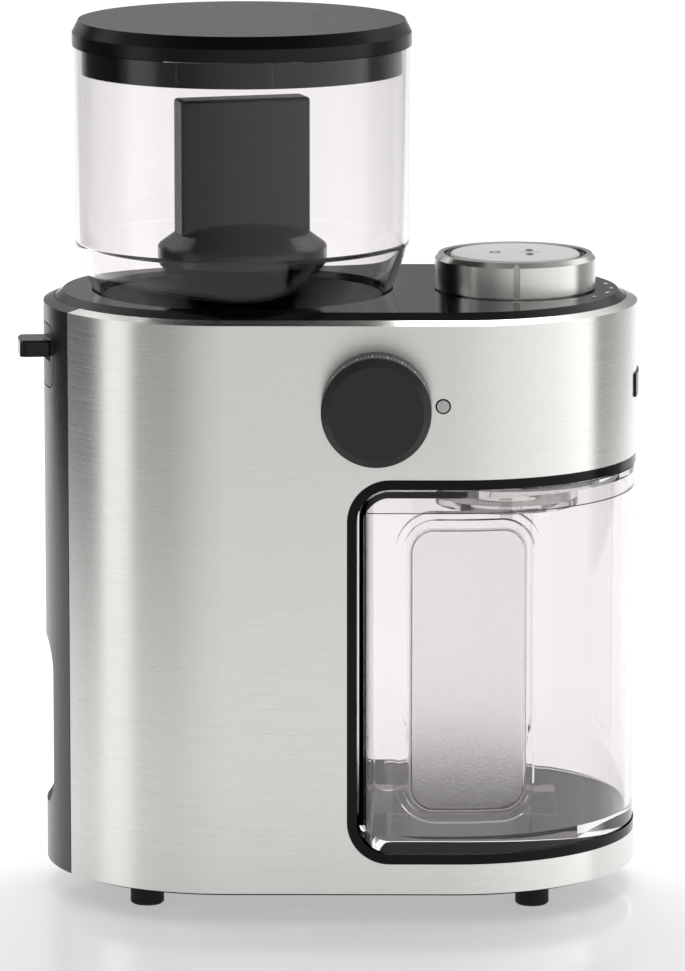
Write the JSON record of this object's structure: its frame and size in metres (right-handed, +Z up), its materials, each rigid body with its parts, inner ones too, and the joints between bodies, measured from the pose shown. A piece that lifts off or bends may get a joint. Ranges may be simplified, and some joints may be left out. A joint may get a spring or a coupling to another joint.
{
  "type": "burr coffee grinder",
  "caption": "Upright burr coffee grinder: oval steel body with a clear bean hopper on top, a front grind dial, a cups dial with start button, and a clear pull-out container.",
  "frame": {"origin": "on the surface the feet stand on, under the middle of the oval body", "axes": "+X along the body towards the container, +Y to the back, +Z up"},
  "size_m": [0.1905, 0.1265, 0.269],
  "materials": {
    "brushed_steel_shell": "horizontally brushed",
    "black_satin": "satin",
    "black_gloss": "gloss",
    "clear_plastic": "clear, polished",
    "lid_plastic": "satin top, gloss edge",
    "charcoal_plastic": "satin",
    "shutter_plastic": "satin",
    "dial_metal": "satin",
    "button_plastic": "satin",
    "mark_white": "printed",
    "foot_rubber": "moulded",
    "grommet_rubber": "moulded",
    "screw_steel": "zinc plated",
    "machined_steel": "turned",
    "burr_steel": "ground",
    "spring_steel": "drawn",
    "nylon_natural": "moulded",
    "pinion_brass": "cut",
    "sintered_bronze": "sintered",
    "chamber_plastic": "moulded",
    "gearbox_plastic": "moulded",
    "motor_steel": "zinc plated",
    "magnet_ferrite": "sintered",
    "armature_laminations": "stacked sheet",
    "board_laminate": "coated"
  },
  "bodies": {
    "root": {"steel_band": "brushed_steel_shell", "side_cover": "black_satin", "top_deck": "black_gloss", "base_plate": "black_satin", "base_screws": "screw_steel", "foot_front_left": "foot_rubber", "foot_front_right": "foot_rubber", "foot_back_left": "foot_rubber", "foot_back_right": "foot_rubber", "bay_liner": "black_gloss", "cord_gland": "grommet_rubber", "end_badge": "black_gloss", "dial_marker": "mark_white", "lever_escutcheon": "black_satin", "burr_housing": "chamber_plastic", "housing_screws": "screw_steel", "housing_bush": "sintered_bronze", "grind_chute": "chamber_plastic", "burr_spring": "spring_steel", "idler_pin": "machined_steel", "gearbox_plate": "gearbox_plastic", "gearbox_cover": "gearbox_plastic", "gearbox_bush": "sintered_bronze", "gearbox_screws": "screw_steel", "motor_can": "motor_steel", "motor_endcap": "gearbox_plastic", "motor_magnets": "magnet_ferrite", "dial_bushing": "pinion_brass", "button_sleeve": "black_gloss", "button_spring": "spring_steel", "control_board": "board_laminate", "button_switch": "board_laminate", "dial_encoder": "board_laminate"},
    "hopper": {"hopper": "clear_plastic", "hopper_funnel": "black_gloss"},
    "hopper_lid": {"hopper_lid": "lid_plastic"},
    "shutter": {"shutter_knob": "charcoal_plastic", "shutter_disc": "shutter_plastic"},
    "lock_ring": {"lock_ring": "black_satin", "lock_lever": "black_satin"},
    "grind_dial": {"grind_dial": "charcoal_plastic", "dial_shaft": "machined_steel"},
    "burr_carrier": {"burr_carrier": "nylon_natural", "upper_burr": "burr_steel"},
    "burr_drive": {"lower_burr": "burr_steel", "impeller": "nylon_natural", "drive_shaft": "machined_steel", "burr_nut": "machined_steel", "final_gear": "nylon_natural"},
    "idler_gear": {"idler_gear": "nylon_natural"},
    "motor_rotor": {"motor_shaft": "machined_steel", "armature": "armature_laminations", "motor_pinion": "pinion_brass"},
    "cups_dial": {"cups_dial": "dial_metal", "dial_retainer": "machined_steel"},
    "start_button": {"start_button": "button_plastic"},
    "container": {"container": "clear_plastic", "container_lid": "clear_plastic"}
  },
  "joints": [
    {"name": "hopper_lift", "type": "slide", "parent": "root", "child": "hopper", "axis": [0, 0, 1], "range_m": [0, 0.09]},
    {"name": "lid_lift", "type": "slide", "parent": "hopper", "child": "hopper_lid", "axis": [0, 0, 1], "range_m": [0, 0.05]},
    {"name": "shutter_turn", "type": "hinge", "parent": "hopper", "child": "shutter", "pos_m": [-0.03, 0, 0.19], "axis": [0, 0, 1], "range_deg": [0, 90]},
    {"name": "hopper_lock", "type": "hinge", "parent": "root", "child": "lock_ring", "pos_m": [-0.03, 0, 0.174], "axis": [0, 0, 1], "range_deg": [-14, 0]},
    {"name": "grind_dial_turn", "type": "hinge", "parent": "root", "child": "grind_dial", "pos_m": [0.0112, -0.063, 0.1588], "axis": [0, -1, 0], "range_deg": [-60, 60]},
    {"name": "burr_adjust", "type": "slide", "parent": "root", "child": "burr_carrier", "axis": [0, 0, 1], "range_m": [-0.00087, 0.00087], "deforming": ["burr_spring"]},
    {"name": "motor_spin", "type": "hinge", "parent": "root", "child": "motor_rotor", "pos_m": [-0.04, 0, 0.06], "axis": [0, 0, 1], "continuous": true},
    {"name": "idler_spin", "type": "hinge", "parent": "root", "child": "idler_gear", "pos_m": [-0.04622, 0.0253, 0.1], "axis": [0, 0, 1], "continuous": true},
    {"name": "burr_spin", "type": "hinge", "parent": "root", "child": "burr_drive", "pos_m": [-0.03, 0, 0.12], "axis": [0, 0, 1], "continuous": true},
    {"name": "cups_dial_turn", "type": "hinge", "parent": "root", "child": "cups_dial", "pos_m": [0.0535, 0, 0.19], "axis": [0, 0, 1], "range_deg": [0, 180]},
    {"name": "button_press", "type": "slide", "parent": "root", "child": "start_button", "axis": [0, 0, -1], "range_m": [0, 0.0012], "stiffness_N_per_m": 800, "springref_m": -0.001, "deforming": ["button_spring"]},
    {"name": "container_slide", "type": "slide", "parent": "root", "child": "container", "axis": [1, 0, 0], "range_m": [0, 0.1]}
  ],
  "couplings": [
    {"joint": "grind_dial_turn", "follows": "burr_adjust", "rad_per_m": 1209.2},
    {"joint": "idler_spin", "follows": "motor_spin", "ratio": -0.3},
    {"joint": "burr_spin", "follows": "motor_spin", "ratio": 0.091304}
  ]
}
